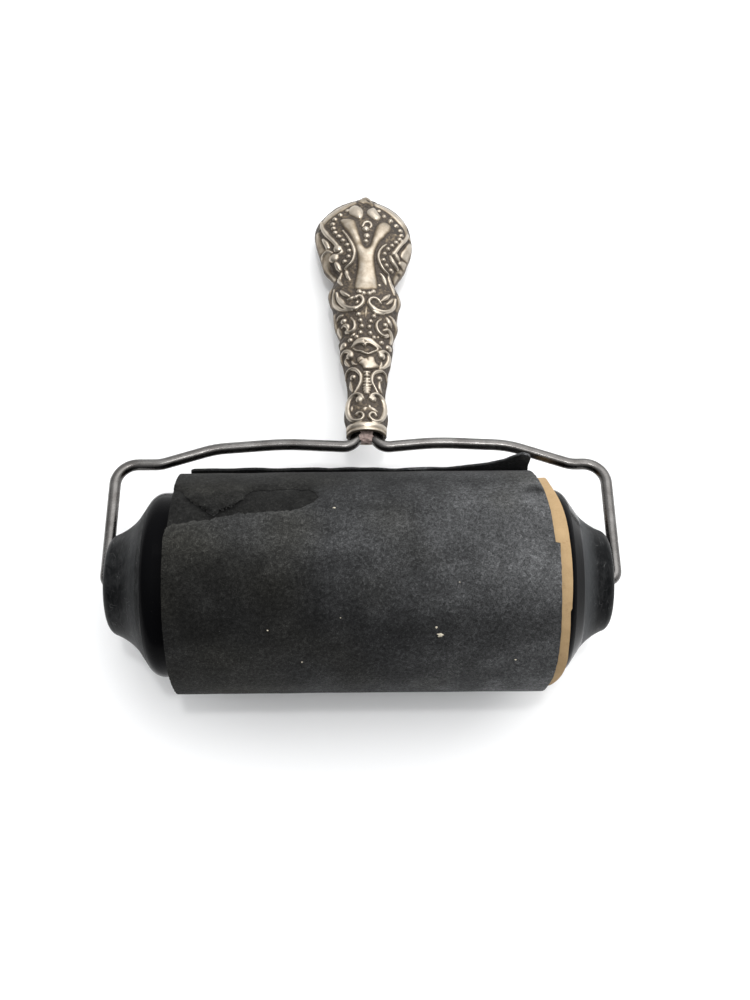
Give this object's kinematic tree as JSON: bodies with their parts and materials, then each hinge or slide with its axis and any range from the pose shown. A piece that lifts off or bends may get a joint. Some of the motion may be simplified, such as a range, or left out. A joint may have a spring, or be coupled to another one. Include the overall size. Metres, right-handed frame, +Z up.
{
  "type": "rolling desk blotter",
  "caption": "Turned wooden roller wound with tan paper and grey blotting plies, in a bent steel wire yoke with a hollow stamped silver handle.",
  "frame": {"origin": "on the desk, under the middle of the yoke: the middle of the line on which the paper rolls", "axes": "+X along the roller, +Y from the roller to the handle, +Z up from the desk"},
  "size_m": [0.138, 0.1539, 0.0572],
  "materials": {
    "steel_wire": "dull drawn wire, worn bright along the top",
    "mouth_cement": "rough pinkish grey cement",
    "pitch": "set pitch filling",
    "stamped_silver": "polished relief with dark patina in the recesses",
    "gloss_ebonised_wood": "black gloss lacquer",
    "satin_ebonised_wood": "black satin lacquer with fine wear",
    "card": "plain card",
    "tan_paper": "aged tan paper",
    "grey_blotting_paper": "mottled felt-like blotting paper, stained and torn"
  },
  "bodies": {
    "yoke_frame": {"yoke_wire": "steel_wire", "mouth_plug": "mouth_cement", "handle_pitch_core": "pitch", "handle_front_shell": "stamped_silver", "handle_back_shell": "stamped_silver"},
    "roller": {"drum_core": "gloss_ebonised_wood", "left_end_cap": "satin_ebonised_wood", "right_end_cap": "satin_ebonised_wood", "card_tube": "card", "tan_blotter_roll": "tan_paper", "grey_inner_wrap": "grey_blotting_paper", "grey_outer_wrap": "grey_blotting_paper"}
  },
  "joints": [
    {"name": "roller_spin", "type": "hinge", "parent": "yoke_frame", "child": "roller", "pos_m": [0, 0, 0.0286], "axis": [1, 0, 0], "continuous": true}
  ]
}
